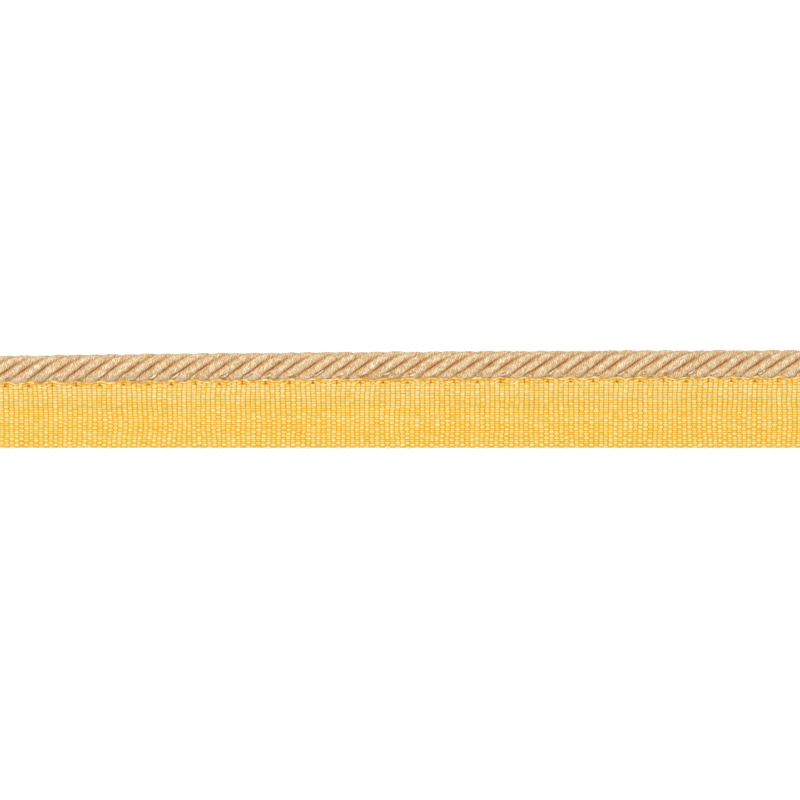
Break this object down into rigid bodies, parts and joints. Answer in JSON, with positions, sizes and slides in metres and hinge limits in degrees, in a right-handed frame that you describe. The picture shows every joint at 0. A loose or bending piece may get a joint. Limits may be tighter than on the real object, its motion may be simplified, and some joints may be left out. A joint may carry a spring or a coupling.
{
  "type": "flanged cord trim",
  "caption": "Straight cut length of flanged cord trim: a twisted beige cord sewn along the edge of a flat woven yellow tape, lying face up.",
  "frame": {"origin": "middle of the trim's footprint, on the surface that it lies on", "axes": "+X along the trim, +Y across it from the tape to the cord, +Z out of its face, away from the surface"},
  "size_m": [0.16, 0.018, 0.0048],
  "materials": {
    "cord_yarn": "soft lustre beige yarn, twisted",
    "tape_weave": "matte yellow plain weave"
  },
  "bodies": {
    "root": {"cord": "cord_yarn", "tape": "tape_weave"}
  },
  "joints": []
}
